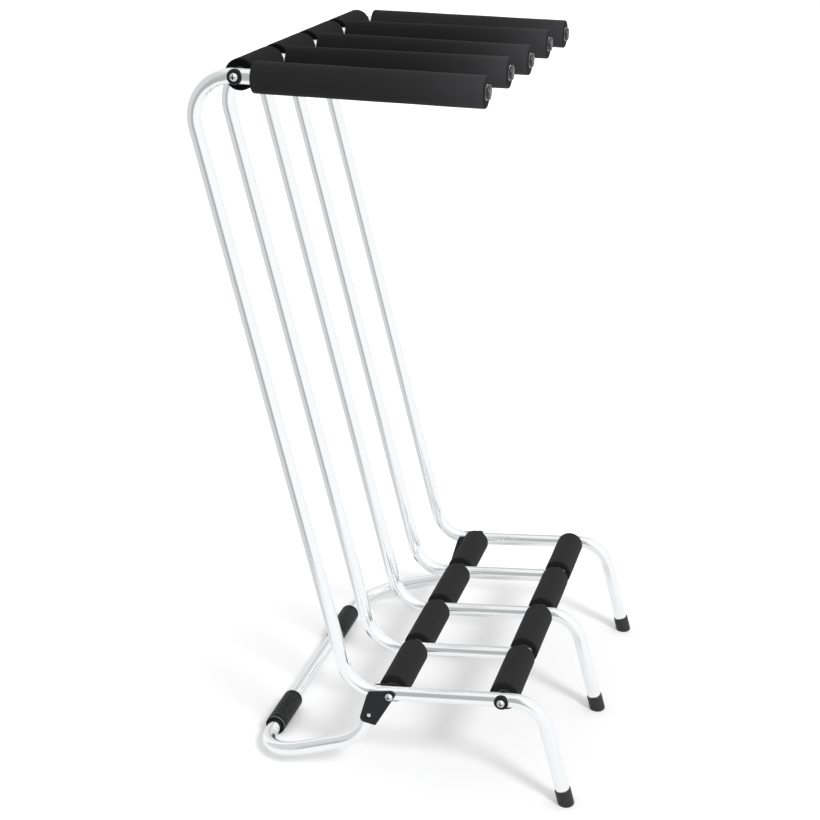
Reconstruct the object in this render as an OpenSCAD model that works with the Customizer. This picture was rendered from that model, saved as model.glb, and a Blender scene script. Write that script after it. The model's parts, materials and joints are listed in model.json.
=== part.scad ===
// Freestanding surfboard rack of bent tube, with foam sleeves and a fold-away rear prop.
// Millimetres. +Z is up, the arms point to -Y, and the width runs along X.
// Side shapes are laid out by two measures: ahead, the distance in front of the rear
// crossbar's axis, and up, the height above the floor.

/* [Tube] */
// Outer diameter of every bent tube
tube_d = 25; // [20:0.5:27]
// Wall of the rails and the crossbar spacers
tube_wall = 1.5; // [1:0.1:2.5]
// Centre distance between neighbouring rails
rail_pitch = 180; // [150:5:240]

/* [Rail side shape] */
// Height of the rear crossbar's axis above the floor
shelf_height = 176; // [165:1:230]
// Rise of the shelf line towards the front, in degrees
shelf_rise = 3.9; // [0:0.1:8]
// Distance from the rear crossbar back to the low corner
low_corner_back = 75; // [73:1:110]
// Lean of the uprights from vertical, in degrees
upright_lean = 14.2; // [5:0.1:20]
// Height between the low corner and the top corner
upright_rise = 1089; // [900:1:1300]
// Fall of the long rails' arms towards the front, in degrees
arm_fall = 1.4; // [0:0.1:4]
// Fall of the short rails' arms towards the front, in degrees
short_arm_fall = 0.8; // [0:0.1:4]
// Distance that the short rails' uprights stand further back
short_rail_back = 5; // [0:0.5:8]
// Centre-line radius of the top bend
top_bend_r = 70; // [50:1:85]
// Centre-line radius of the low bend
low_bend_r = 70; // [45:1:72]
// Centre-line radius of the leg bend
leg_bend_r = 60; // [40:1:75]
// Distance from the rear crossbar forward to the leg corner
leg_corner_ahead = 268; // [255:1:320]
// Distance from the rear crossbar forward to the foot
foot_ahead = 320; // [300:1:380]
// Length of rails 2 and 4 past the front crossbar
short_tail = 15; // [13:0.5:25]

/* [Crossbars] */
// Distance from the rear crossbar forward to the front crossbar
front_bar_ahead = 201.5; // [150:0.5:205]
// Distance from the top corner forward to the top crossbar
top_bar_inset = 96.4; // [90:1:120]
// Outer diameter of the tie rods
rod_d = 12; // [10:0.5:13]
// Play between a tie rod and the holes it passes through
rod_play = 0.1; // [0.05:0.01:0.2]
// Diameter of the bore in each end of a tie rod
rod_bore_d = 8; // [5:0.5:9]
// Depth of the bore in each end of a tie rod
rod_bore_depth = 18; // [16:1:30]
// Distance by which the top and front tie rods stop short of the end washers' faces
rod_short = 2; // [1:0.5:3]

/* [Saddle washers] */
// Lip by which a saddle washer's flat face stands out beyond the spacer tube
saddle_lip = 0.1; // [0:0.1:0.5]
// Diameter of a saddle washer where it meets the rail
saddle_d = 26; // [26:0.5:30]
// Diameter of the flat face under an end screw
end_face_d = 21.6; // [20:0.2:25]
// Height of a saddle washer's flat face above the rail's side
saddle_rise = 3.5; // [2.5:0.5:7]
// Depth to which a saddle washer's skirt reaches round the rail
saddle_wrap = 5; // [3:0.5:7]
// Length of the spigot that centres a spacer tube
spigot_len = 6; // [4:0.5:10]
// Thickness of the flanged bushes beside the brackets
bush_t = 1.2; // [0.8:0.1:3]

/* [End screws] */
// Diameter of a pan head
screw_head_d = 14.5; // [13:0.5:16]
// Height of a pan head
screw_head_h = 4.6; // [3:0.2:6]
// Length of a screw's shank
screw_shank_len = 14; // [10:1:15]
// Width across one arm of the cross recess
recess_w = 1.7; // [1:0.1:2]
// Length of one arm of the cross recess, tip to tip
recess_len = 8; // [5:0.5:9]
// Depth of the cross recess
recess_depth = 2.7; // [1.5:0.1:3]

/* [Foam] */
// Outer diameter of every foam sleeve
foam_d = 53; // [44:0.5:56]
// Radius of a sleeve's rounded ends
foam_round = 3; // [2:0.5:8]
// Gap between a crossbar sleeve's end and the rail or the bracket beside it
foam_gap = 0.4; // [0.3:0.1:4]
// Length of an arm sleeve
arm_foam_len = 384; // [300:2:450]
// Gap between the top crossbar's sleeves and the arm sleeves
arm_foam_gap = 3.2; // [0.6:0.2:6]
// Play between a sleeve and the tube inside it
foam_play = 0.15; // [0.1:0.05:0.3]

/* [Plugs and ferrules] */
// Diameter of an arm plug's flange
plug_d = 25; // [23:0.5:30]
// Thickness of an arm plug's flange
plug_h = 5.5; // [4:0.5:8]
// Length of an arm plug's stem inside the tube
plug_stem_len = 22; // [12:1:40]
// Wall of an arm plug's hollow stem
plug_stem_wall = 2.5; // [1.5:0.5:4]
// Radius of the grooves that ring an arm plug's face
plug_groove_r = 1; // [0.4:0.1:1.4]
// Play between a plug's stem and the tube's bore
plug_play = 0.05; // [0.02:0.01:0.2]
// Thickness of the small end plugs on rails 2 and 4
tail_plug_h = 3; // [2:0.5:5]
// Gap between such a plug's stem and the front tie rod
tail_stem_gap = 2; // [1:0.5:4]
// Wall of a leg ferrule
ferrule_wall = 2; // [1:0.25:4]
// Length of a leg ferrule above the floor, along the leg
ferrule_len = 28.5; // [24:0.5:40]
// Thickness of a ferrule's closed end
ferrule_floor = 7.5; // [7:0.5:10]
// Depth that a ferrule's end is worn flat by the floor
ferrule_flat = 2.5; // [2:0.1:3]
// Radius round a ferrule's lower edge
ferrule_round = 3; // [1:0.5:4]

/* [Rear prop] */
// Distance from the rear crossbar back to the prop's rear bar
prop_back = 256; // [230:1:280]
// Distance from the rear crossbar back to the prop's side corner
prop_corner_back = 51.5; // [50:0.5:60]
// Depth of the prop's side corner below the rear crossbar
prop_corner_down = 95.5; // [89:0.5:100]
// Lean of the prop's upper ends from vertical, in degrees
prop_end_lean = 14.4; // [12:0.2:17]
// Depth of the prop's lower screws below the rear crossbar
prop_screw_down = 41.5; // [39:0.5:44]
// Length of tube above a lower screw
prop_end_len = 11; // [8:0.5:12]
// Distance that the prop's rear corners stand outside the end rails
prop_splay = 8; // [0:1:16]
// Centre-line radius of the prop's side bends
prop_side_bend_r = 75; // [50:1:85]
// Centre-line radius of the prop's rear bends
prop_rear_bend_r = 90; // [60:1:96]

/* [Brackets] */
// Thickness of a bracket's cheek
cheek_t = 4; // [3:0.25:4.5]
// Radius round the outer edge of a cheek
cheek_edge = 1.2; // [0.4:0.1:1.3]
// Clearance between a bracket and its rail
bracket_clear = 0.4; // [0.4:0.05:0.6]
// Radius of a bracket's nose, the corner round its pivot
nose_r = 8; // [8:0.5:12]
// Distance of the nose's centre ahead of the pivot
nose_ahead = 2.7; // [2:0.1:4]
// Height of the nose's centre above the pivot
nose_up = 4; // [2:0.5:5]
// Distance from the pivot back to a bracket's upper rear corner
bracket_back = 36; // [32:0.5:38]
// Height of that corner above the pivot
bracket_peak = 4; // [2:0.2:8]
// Distance from the pivot back to a bracket's shoulder, where its web starts
shoulder_back = 39.7; // [39:0.1:42]
// Depth of the shoulder below the pivot
shoulder_drop = 3.7; // [3:0.1:8]
// Radius of a bracket's heel, behind its lower screw
heel_r = 9; // [6:0.5:11]
// Distance of the heel's centre behind the lower screw
heel_back = 6.9; // [6:0.1:8]
// Distance of the heel's centre below the lower screw
heel_drop = 5; // [2:0.5:8]
// Distance of the front lower corner ahead of the lower screw
toe_ahead = 11.8; // [10:0.1:16]
// Distance of the front lower corner below the lower screw
toe_drop = 15.5; // [12:0.5:22]
// Radius of a bracket's small corners
bracket_corner_r = 2; // [1.5:0.5:4]
// Thickness of the web that joins the two cheeks
web_t = 5; // [3:0.5:7]
// Step from the cheeks' outline in to the web's
web_inset = 0.4; // [0.2:0.1:1]
// Radial play of a bracket's bore on the tie rod
pivot_play = 0.05; // [0.02:0.01:0.08]
// Diameter of the lower screws
low_screw_d = 6; // [4:0.5:6.5]
// Diameter of a lower screw's head
low_head_d = 10; // [9:0.5:11]
// Height of a lower screw's head
low_head_h = 2.2; // [1.6:0.2:3]
// Depth of the seat that sinks such a head into the outer cheek
low_seat_depth = 2.4; // [1.6:0.1:2.6]
// Gap round the head in that seat
low_seat_gap = 0.7; // [0.3:0.1:1.2]
// Width across the flats of a lower screw's nut
low_nut_w = 10; // [8:0.5:11]
// Height of a lower screw's nut
low_nut_h = 5; // [3:0.5:6]

/* [Grips] */
// Outer diameter of a grip
grip_d = 38; // [30:0.5:44]
// Length of a grip
grip_len = 115; // [100:1:160]
// Distance from the middle of the rack to the middle of a grip
grip_out = 198.5; // [140:0.5:206]
// Centre distance between the grooves that rib a grip
groove_pitch = 8; // [5:0.5:12]
// Radius of those grooves
groove_r = 1.8; // [0.8:0.1:2.4]
// Length of the plain band at each end of a grip
grip_band = 16; // [8:1:25]
// Radius round a grip's ends
grip_round = 5; // [2:0.5:7]

/* [Hidden] */
$fn = 96;

rails = [1, 2, 3, 4, 5];
middle_rail = 3;
bays = [1, 2, 3, 4];
white = "#eef1f3";
black = "#26282b";
foam_grey = "#303134";
steel = "#b9bdc0";

tube_r = tube_d / 2;
bore_r = tube_r - tube_wall;
foam_r = foam_d / 2;
rod_r = rod_d / 2;
hole_r = rod_r + rod_play;
ferrule_r = tube_r + ferrule_wall;
low_hole_r = low_screw_d / 2 + rod_play;
cut = 0.5;
bend_swell = 0.2;
bend_lap = 0.5;
hull_fn = 32;
beyond = 200;

// Places along the side shape, as [ahead, up]
low_corner = [-low_corner_back, shelf_up(-low_corner_back)];
top_corner = [-low_corner_back - upright_rise * tan(upright_lean), low_corner[1] + upright_rise];
top_bar = [top_corner[0] + top_bar_inset, top_corner[1] - top_bar_inset * tan(arm_fall)];
rear_bar = [0, shelf_up(0)];
front_bar = [front_bar_ahead, shelf_up(front_bar_ahead)];
leg_corner = [leg_corner_ahead, shelf_up(leg_corner_ahead)];
foot = [foot_ahead, 0];
arm_foam_start = top_bar[0] + foam_r + arm_foam_gap;
leg_lean = atan((foot[0] - leg_corner[0]) / leg_corner[1]);

// The origin lies on the floor under the middle of the rack's depth
front_reach = foot_ahead + (ferrule_flat - ferrule_round) * sin(leg_lean)
    + (ferrule_r - ferrule_round) * cos(leg_lean) + ferrule_round;
back_reach = max(bend_back(1), bend_back(2));
depth_mid = (front_reach - back_reach) / 2;
end_rail_x = rail_x(len(rails));

// Widths measured from a rail's centre
saddle_face = tube_r + saddle_rise;
cheek_in = tube_r + bracket_clear;
cheek_out = cheek_in + cheek_t;
low_seat = cheek_out - low_seat_depth;
pin_end = cheek_out + bracket_clear;

// The rear prop's side, as [ahead, up]
prop_corner = rear_bar - [prop_corner_back, prop_corner_down];
prop_end_dir = [sin(prop_end_lean), cos(prop_end_lean)];
prop_screw = prop_corner + prop_end_dir * (prop_corner_down - prop_screw_down) / prop_end_dir[1];
prop_end = prop_screw + prop_end_dir * prop_end_len;
prop_rear = [-prop_back, grip_d / 2];

function shelf_up(ahead) = shelf_height + ahead * tan(shelf_rise);
function place(x, side) = [x, depth_mid - side[0], side[1]];
function rail_x(i) = (i - middle_rail) * rail_pitch;
function is_long(i) = i % 2 == 1;
function fall(i) = is_long(i) ? arm_fall : short_arm_fall;
function setback(i) = is_long(i) ? 0 : short_rail_back;
function unit(v) = v / norm(v);

// Height of rail i's arm at a distance ahead: every arm meets the top crossbar's axis
function arm_up(i, ahead) = top_bar[1] - (ahead - top_bar[0]) * tan(fall(i));
function arm_point(i, along) =
    [arm_foam_start + along * cos(fall(i)), arm_up(i, arm_foam_start) - along * sin(fall(i))];
function rail_low(i) = [low_corner[0] - setback(i), shelf_up(low_corner[0] - setback(i))];
function rail_top(i) = [top_corner[0] - setback(i), arm_up(i, top_corner[0] - setback(i))];
function shelf_dir() = [cos(shelf_rise), sin(shelf_rise)];

// How far rail i's top bend reaches behind the rear crossbar's axis
function bend_back(i) = top_bend_r + tube_r + bend_swell - rail_top(i)[0]
    - top_bend_r * (cos(upright_lean) + tan((90 + upright_lean + fall(i)) / 2) * sin(upright_lean));
function rail_path(i) = [
    arm_point(i, arm_foam_len),
    rail_top(i),
    rail_low(i),
    is_long(i) ? leg_corner : front_bar + shelf_dir() * short_tail,
    if (is_long(i)) foot + (leg_corner - foot) * ferrule_lift / norm(leg_corner - foot)
];
ferrule_lift = ferrule_floor - ferrule_flat;
bend_radii = [top_bend_r, low_bend_r, leg_bend_r];

// The two ends of the line that touches circles a and b on their right, each as [x, y, radius]
function touch(a, b) =
    let (
        gap = [b[0] - a[0], b[1] - a[1]],
        share = (a[2] - b[2]) / norm(gap),
        ahead = unit(gap),
        out = ahead * share + [ahead[1], -ahead[0]] * sqrt(1 - share * share)
    )
    [[a[0], a[1]] + out * a[2], [b[0], b[1]] + out * b[2]];

// A convex outline whose corners are circles, listed anticlockwise as [x, y, radius]
module rounded_outline(corners) {
    n = len(corners);
    polygon([for (k = [0:n - 1]) each touch(corners[k], corners[(k + 1) % n])]);
    for (c = corners)
        translate([c[0], c[1]])
            circle(c[2]);
}

// Puts what follows at a point, with its z axis along a direction
module along(point, dir) {
    tilt = acos(dir[2] / norm(dir));
    translate(point)
        rotate([0, tilt, atan2(dir[1], dir[0])])
            children();
}

// Puts what follows on an axis across the rack, starting at x and pointing along side
module across(x, side_point, side = 1) {
    translate(place(x, side_point))
        rotate([0, side * 90, 0])
            children();
}

module ring(outer_r, inner_r) {
    difference() {
        circle(outer_r);
        if (inner_r > 0) circle(inner_r);
    }
}

module pipe(outer_r, inner_r, len) {
    linear_extrude(len)
        ring(outer_r, inner_r);
}

// Puts what follows at a point, with its x and z axes along two directions
module on_axes(point, x_dir, z_dir) {
    y_dir = cross(z_dir, x_dir);
    multmatrix(concat([for (k = [0:2]) [x_dir[k], y_dir[k], z_dir[k], point[k]]], [[0, 0, 0, 1]]))
        children();
}

// Where the circle of a tube's stretch number i starts: across the rack on the first stretch,
// and carried round each bend without a twist, so that all the circles of a tube start in line
function seam(dirs, i) = i == 0 ? [1, 0, 0] : carried(seam(dirs, i - 1), dirs[i - 1], dirs[i]);
function carried(v, from, to) = v - (from + to) * (to * v) / (1 + from * to);

// One bend of a tube, rounding a corner between two directions
module pipe_bend(corner, from, to, start, bend_r, outer_r, inner_r) {
    angle = acos(from * to);
    outwards = unit(from * (from * to) - to);
    axis = cross(outwards, from);
    on_axes(corner - from * bend_r * tan(angle / 2) - outwards * bend_r, outwards, axis)
        rotate_extrude(angle = angle)
            translate([bend_r, 0])
                rotate(atan2(start * axis, start * outwards))
                    ring(outer_r + bend_swell, inner_r - bend_swell);
}

// A tube bent at every inner point of a path, with one radius for each bend. The straights
// lap into the bends, whose walls are a little thicker both ways, so that all of it is one solid.
module bent_pipe(path, radii, outer_r, inner_r) {
    last = len(path) - 1;
    dirs = [for (i = [0:last - 1]) unit(path[i + 1] - path[i])];
    trim = [for (i = [0:last]) i == 0 || i == last ? 0
        : radii[i - 1] * tan(acos(dirs[i - 1] * dirs[i]) / 2) - bend_lap];
    for (i = [0:last - 1])
        on_axes(path[i] + dirs[i] * trim[i], seam(dirs, i), dirs[i])
            pipe(outer_r, inner_r, norm(path[i + 1] - path[i]) - trim[i] - trim[i + 1]);
    for (i = [1:last - 1])
        pipe_bend(path[i], dirs[i - 1], dirs[i], seam(dirs, i - 1), radii[i - 1], outer_r, inner_r);
}

module rail_pipe(i, outer_r, inner_r) {
    path = [for (side = rail_path(i)) place(rail_x(i), side)];
    bent_pipe(path, bend_radii, outer_r, inner_r);
}

// A straight hole across a rail at a side point
module cross_hole(i, side_point, r) {
    reach = cheek_out + spigot_len + cut;
    across(rail_x(i) - reach, side_point)
        cylinder(r = r, h = 2 * reach);
}

// A rail, cross-drilled where the three tie rods pass through it
module rail(i) {
    color(white)
        difference() {
            rail_pipe(i, tube_r, bore_r);
            for (bar = [top_bar, rear_bar, front_bar])
                cross_hole(i, bar, hole_r);
        }
}

// Whether a bracket stands beside rail i on a bar
function has_bracket(bar, i) = bar == rear_bar && (i == 1 || i == 5);

// Inner end of a spacer tube, measured from its rail's centre
function spacer_start(bar, i) = has_bracket(bar, i) ? pin_end + bush_t : saddle_face;

module spacers(bar) {
    color(white)
        for (i = bays) {
            from = rail_x(i) + spacer_start(bar, i);
            to = rail_x(i + 1) - spacer_start(bar, i + 1);
            across(from, bar)
                pipe(tube_r, bore_r, to - from);
        }
}

// A tie rod, bored at both ends for the end screws
module tie_rod(bar, reach) {
    half = end_rail_x + reach;
    color(steel)
        difference() {
            across(-half, bar)
                cylinder(r = rod_r, h = 2 * half);
            for (side = [-1, 1])
                across(side * (half + cut), bar, -side)
                    cylinder(d = rod_bore_d, h = rod_bore_depth + cut);
        }
}

// A washer whose flat face takes a spacer or a screw head, and whose skirt hugs the rail
module saddle(i, bar, side, has_spigot) {
    base_r = saddle_d / 2;
    face_r = has_spigot ? tube_r + saddle_lip : end_face_d / 2;
    color(black)
        difference() {
            across(rail_x(i) + side * (tube_r - saddle_wrap), bar, side) {
                rotate_extrude()
                    polygon([
                        [0, 0], [base_r, 0], [base_r, saddle_wrap],
                        [face_r, saddle_wrap + saddle_rise], [0, saddle_wrap + saddle_rise]
                    ]);
                if (has_spigot)
                    cylinder(r = bore_r - plug_play, h = saddle_wrap + saddle_rise + spigot_len);
            }
            cross_hole(i, bar, hole_r);
            rail_pipe(i, tube_r + plug_play, 0);
        }
}

// Direction of rail i where it crosses a bar, as [ahead, up] and in space
function bar_dir(i, bar) = bar == top_bar ? [cos(fall(i)), -sin(fall(i))] : shelf_dir();
function side_dir(d) = [0, -d[0], d[1]];

module saddles(bar) {
    for (i = rails, side = [-1, 1]) {
        is_outer = i == 1 && side == -1 || i == 5 && side == 1;
        if (!has_bracket(bar, i))
            saddle(i, bar, side, !is_outer);
    }
}

// The flanged bushes that carry the rear crossbar's outer spacers on the pivot rod
module pivot_bushes() {
    color(black)
        for (side = [-1, 1])
            across(side * (end_rail_x - pin_end), rear_bar, -side)
                difference() {
                    union() {
                        cylinder(r = tube_r, h = bush_t);
                        cylinder(r = bore_r - plug_play, h = bush_t + spigot_len);
                    }
                    translate([0, 0, -cut])
                        cylinder(r = hole_r, h = bush_t + spigot_len + 2 * cut);
                }
}

// A pan head screw with a cross recess, its head's underside at z = 0
module pan_screw() {
    crown_r = (pow(screw_head_d / 2, 2) + pow(screw_head_h, 2)) / (2 * screw_head_h);
    difference() {
        union() {
            intersection() {
                translate([0, 0, screw_head_h - crown_r])
                    sphere(crown_r);
                cylinder(d = screw_head_d, h = screw_head_h);
            }
            translate([0, 0, -screw_shank_len])
                cylinder(r = rod_bore_d / 2 - plug_play, h = screw_shank_len + cut);
        }
        for (quarter = [0, 90])
            rotate([0, 0, quarter])
                translate([-recess_len / 2, -recess_w / 2, screw_head_h - recess_depth])
                    cube([recess_len, recess_w, recess_depth + cut]);
    }
}

module end_screws() {
    color(steel)
        for (side = [-1, 1]) {
            for (bar = [top_bar, front_bar])
                across(side * (end_rail_x + saddle_face), bar, side)
                    pan_screw();
            across(side * (end_rail_x + pin_end), rear_bar, side)
                pan_screw();
        }
}

// A foam sleeve along z with rounded ends, whose mouths are stretched over what stands in them:
// mouths gives the depth of each, at the start and at the end
module foam_sleeve(len, mouths = [0, 0]) {
    core_r = tube_r + foam_play;
    mouth_r = saddle_d / 2 + foam_play;
    color(foam_grey)
        rotate_extrude()
            difference() {
                union() {
                    translate([core_r, foam_round])
                        square([foam_r - core_r, len - 2 * foam_round]);
                    translate([core_r, 0])
                        square([foam_r - foam_round - core_r, len]);
                    for (end = [foam_round, len - foam_round])
                        translate([foam_r - foam_round, end])
                            circle(foam_round);
                }
                if (mouths[0] > 0) square([mouth_r, mouths[0]]);
                if (mouths[1] > 0) translate([0, len - mouths[1]]) square([mouth_r, mouths[1]]);
            }
}

// End of a crossbar sleeve, measured from its rail's centre, and its mouth over the saddle washer
function foam_start(bar, i) = (has_bracket(bar, i) ? cheek_out : tube_r) + foam_gap;
function foam_mouth(bar, i) = has_bracket(bar, i) ? 0 : saddle_face + foam_play - foam_start(bar, i);

module bar_foam(bar, i) {
    ends = [foam_start(bar, i), foam_start(bar, i + 1)];
    across(rail_x(i) + ends[0], bar)
        foam_sleeve(rail_pitch - ends[0] - ends[1], [foam_mouth(bar, i), foam_mouth(bar, i + 1)]);
}

module arm_foam(i) {
    dir = bar_dir(i, top_bar);
    along(place(rail_x(i), arm_point(i, 0)), side_dir(dir))
        foam_sleeve(arm_foam_len);
}

// A plug with a ringed face and a hollow stem, closing the front end of an arm
module arm_plug(i) {
    stem_r = bore_r - plug_play;
    edge_r = plug_h / 2;
    rim_r = plug_d / 2 - edge_r;
    color(black)
        along(place(rail_x(i), arm_point(i, arm_foam_len)), side_dir(bar_dir(i, top_bar)))
            rotate_extrude()
                difference() {
                    union() {
                        translate([stem_r - plug_stem_wall, -plug_stem_len])
                            square([plug_stem_wall, plug_stem_len + cut]);
                        square([rim_r, plug_h]);
                        translate([rim_r, edge_r])
                            circle(edge_r);
                    }
                    for (ring_r = [rim_r / 2, rim_r])
                        translate([ring_r, plug_h])
                            circle(plug_groove_r);
                }
}

// A domed plug closing the front end of rail 2 or 4
module tail_plug(i) {
    end = front_bar + shelf_dir() * short_tail;
    crown_r = (tube_r * tube_r + tail_plug_h * tail_plug_h) / (2 * tail_plug_h);
    color(black)
        along(place(rail_x(i), end), side_dir(shelf_dir())) {
            intersection() {
                translate([0, 0, tail_plug_h - crown_r])
                    sphere(crown_r);
                cylinder(r = tube_r, h = tail_plug_h);
            }
            translate([0, 0, -tail_stem_len])
                cylinder(r = bore_r - plug_play, h = tail_stem_len + cut);
        }
}
tail_stem_len = short_tail - rod_r - tail_stem_gap;

// A moulded cap on a leg, rounded round its lower edge and worn flat where it stands
module ferrule(i) {
    up_leg = side_dir(unit(leg_corner - foot));
    span = ferrule_len + ferrule_flat;
    color(black)
        difference() {
            along(place(rail_x(i), foot) - up_leg * ferrule_flat, up_leg)
                rotate_extrude()
                    difference() {
                        union() {
                            translate([0, ferrule_round])
                                square([ferrule_r, span - ferrule_round]);
                            square([ferrule_r - ferrule_round, ferrule_round]);
                            translate([ferrule_r - ferrule_round, ferrule_round])
                                circle(ferrule_round);
                        }
                        translate([-cut, ferrule_floor])
                            square([tube_r + plug_play + cut, span]);
                        translate([-beyond, 0])
                            square([beyond, span]);
                    }
            translate(place(rail_x(i), foot) - [beyond, beyond, beyond])
                cube([2 * beyond, 2 * beyond, beyond]);
        }
}

// The U tube: down from one bracket, back along the side, across the rear and up again
prop_half = [[0, prop_end], [0, prop_corner], [prop_splay, prop_rear]];
prop_path = concat(
    [for (p = prop_half) place(-end_rail_x - p[0], p[1])],
    [for (k = [2, 1, 0]) place(end_rail_x + prop_half[k][0], prop_half[k][1])]
);
prop_radii = [prop_side_bend_r, prop_rear_bend_r, prop_rear_bend_r, prop_side_bend_r];

module base_frame() {
    color(white)
        difference() {
            bent_pipe(prop_path, prop_radii, tube_r, bore_r);
            for (i = [1, 5])
                cross_hole(i, prop_screw, low_hole_r);
        }
}

// Outline of a bracket from the side, drawn in by a margin: its nose, then the upper rear
// corner, the shoulder, the heel behind the lower screw, and the toe in front of it
module bracket_outline(margin) {
    rounded_outline([
        [rear_bar[0] + nose_ahead, rear_bar[1] + nose_up, nose_r - margin],
        [rear_bar[0] - bracket_back, rear_bar[1] + bracket_peak, bracket_corner_r - margin],
        [rear_bar[0] - shoulder_back, rear_bar[1] - shoulder_drop, bracket_corner_r - margin],
        [prop_screw[0] - heel_back, prop_screw[1] - heel_drop, heel_r - margin],
        [prop_screw[0] + toe_ahead, prop_screw[1] - toe_drop, bracket_corner_r - margin]
    ]);
}

// Stands a side outline upright at x, so that its thickness runs across the rack along side
module side_frame(x, side = 1) {
    multmatrix([[0, 0, side, x], [-1, 0, 0, depth_mid], [0, 1, 0, 0], [0, 0, 0, 1]])
        children();
}

// One cheek, from its inner face outwards, with its outer edge rounded over
module cheek() {
    hull()
        for (turn = [0, 45, 90])
            linear_extrude(cheek_t - cheek_edge * (1 - sin(turn)))
                bracket_outline(cheek_edge * (1 - cos(turn)), $fn = hull_fn);
}

// The strip of a bracket's outline that its web fills, behind the tube's end
module web_outline() {
    difference() {
        bracket_outline(web_inset);
        translate([web_t, 0])
            bracket_outline(web_inset);
        translate([-beyond / 2, rear_bar[1] - shoulder_drop])
            square(beyond);
        translate([prop_screw[0] - heel_back, 0])
            square([beyond, prop_screw[1] - heel_drop]);
    }
}

// Two cheeks joined by a web whose upper end is the seat that stops the prop under its rail.
// The outer cheek is sunk round the lower screw's head.
module bracket(i) {
    middle = rail_x(i);
    outer_side = sign(middle);
    color(black)
        difference() {
            union() {
                for (side = [-1, 1])
                    side_frame(middle + side * cheek_in, side)
                        cheek();
                difference() {
                    side_frame(middle - cheek_in - cut)
                        linear_extrude(2 * (cheek_in + cut))
                            web_outline();
                    rail_pipe(i, tube_r + bracket_clear, 0);
                    along(place(middle, prop_corner), side_dir(prop_end_dir))
                        cylinder(r = tube_r + bend_swell + plug_play, h = rear_bar[1]);
                }
            }
            cross_hole(i, rear_bar, rod_r + pivot_play);
            cross_hole(i, prop_screw, low_hole_r);
            across(middle + outer_side * low_seat, prop_screw, outer_side)
                cylinder(d = low_head_d + 2 * low_seat_gap, h = low_seat_depth + cut);
        }
}

// The bolts that hold the U tube's ends in the brackets
module bracket_screws() {
    crown_r = (pow(low_head_d / 2, 2) + pow(low_head_h, 2)) / (2 * low_head_h);
    shank_len = low_seat + cheek_out + low_nut_h;
    color(steel)
        for (side = [-1, 1])
            across(side * (end_rail_x + low_seat), prop_screw, side) {
                intersection() {
                    translate([0, 0, low_head_h - crown_r])
                        sphere(crown_r);
                    cylinder(d = low_head_d, h = low_head_h);
                }
                translate([0, 0, -shank_len])
                    cylinder(d = low_screw_d, h = shank_len + cut);
            }
}

module bracket_nuts() {
    color(steel)
        for (side = [-1, 1])
            across(side * (end_rail_x - cheek_out), prop_screw, -side)
                difference() {
                    cylinder(d = low_nut_w / cos(30), h = low_nut_h, $fn = 6);
                    translate([0, 0, -cut])
                        cylinder(d = low_screw_d + 2 * plug_play, h = low_nut_h + 2 * cut);
                }
}

// A rubber grip on the U tube's rear bar, ringed with half-round grooves between plain bands
module grip(side) {
    r = grip_d / 2;
    core_r = tube_r + plug_play;
    grooves = floor((grip_len - 2 * grip_band) / groove_pitch);
    first = (grip_len - grooves * groove_pitch) / 2;
    color(black)
        across(side * grip_out - grip_len / 2, prop_rear)
            rotate_extrude()
                difference() {
                    union() {
                        translate([core_r, 0])
                            square([r - grip_round - core_r, grip_len]);
                        translate([core_r, grip_round])
                            square([r - core_r, grip_len - 2 * grip_round]);
                        for (end = [grip_round, grip_len - grip_round])
                            translate([r - grip_round, end])
                                circle(grip_round);
                    }
                    square([core_r, grip_len]);
                    for (k = [0:grooves])
                        translate([r, first + k * groove_pitch])
                            circle(groove_r);
                }
}

rail(1);  // rail_1
rail(2);  // rail_2
rail(3);  // rail_3
rail(4);  // rail_4
rail(5);  // rail_5
spacers(top_bar);  // top_spacers
spacers(rear_bar);  // rear_spacers
spacers(front_bar);  // front_spacers
tie_rod(top_bar, saddle_face - rod_short);  // top_tie_rod
tie_rod(rear_bar, pin_end);  // rear_tie_rod
tie_rod(front_bar, saddle_face - rod_short);  // front_tie_rod
saddles(top_bar);  // top_saddles
saddles(rear_bar);  // rear_saddles
saddles(front_bar);  // front_saddles
pivot_bushes();
end_screws();
bar_foam(top_bar, 1);  // top_foam_1
bar_foam(top_bar, 2);  // top_foam_2
bar_foam(top_bar, 3);  // top_foam_3
bar_foam(top_bar, 4);  // top_foam_4
bar_foam(rear_bar, 1);  // rear_foam_1
bar_foam(rear_bar, 2);  // rear_foam_2
bar_foam(rear_bar, 3);  // rear_foam_3
bar_foam(rear_bar, 4);  // rear_foam_4
bar_foam(front_bar, 1);  // front_foam_1
bar_foam(front_bar, 2);  // front_foam_2
bar_foam(front_bar, 3);  // front_foam_3
bar_foam(front_bar, 4);  // front_foam_4
arm_foam(1);  // arm_foam_1
arm_foam(2);  // arm_foam_2
arm_foam(3);  // arm_foam_3
arm_foam(4);  // arm_foam_4
arm_foam(5);  // arm_foam_5
arm_plug(1);  // arm_plug_1
arm_plug(2);  // arm_plug_2
arm_plug(3);  // arm_plug_3
arm_plug(4);  // arm_plug_4
arm_plug(5);  // arm_plug_5
tail_plug(2);  // tail_plug_2
tail_plug(4);  // tail_plug_4
ferrule(1);  // ferrule_1
ferrule(3);  // ferrule_3
ferrule(5);  // ferrule_5
base_frame();
bracket(1);  // bracket_1
bracket(5);  // bracket_5
grip(-1);  // grip_1
grip(1);  // grip_5
bracket_screws();
bracket_nuts();
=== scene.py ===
# %% [markdown]
# # A surfboard rack of bright bent tube and black foam
# The rack is a row of five bent tubes, tied together by three crossbars, with a folding prop
# behind. The exact CAD model brings every washer, screw, bracket and plug. Blender adds what CAD
# can't hold: tubes smooth enough to mirror a room, soft foam with its skin and pores, and finishes
# that catch the light as metal, rubber and nylon do. Each step below says what a thing is on the
# real rack, how it could be made, and why it is made so.

# %% Load the rack
import json
import math

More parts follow.
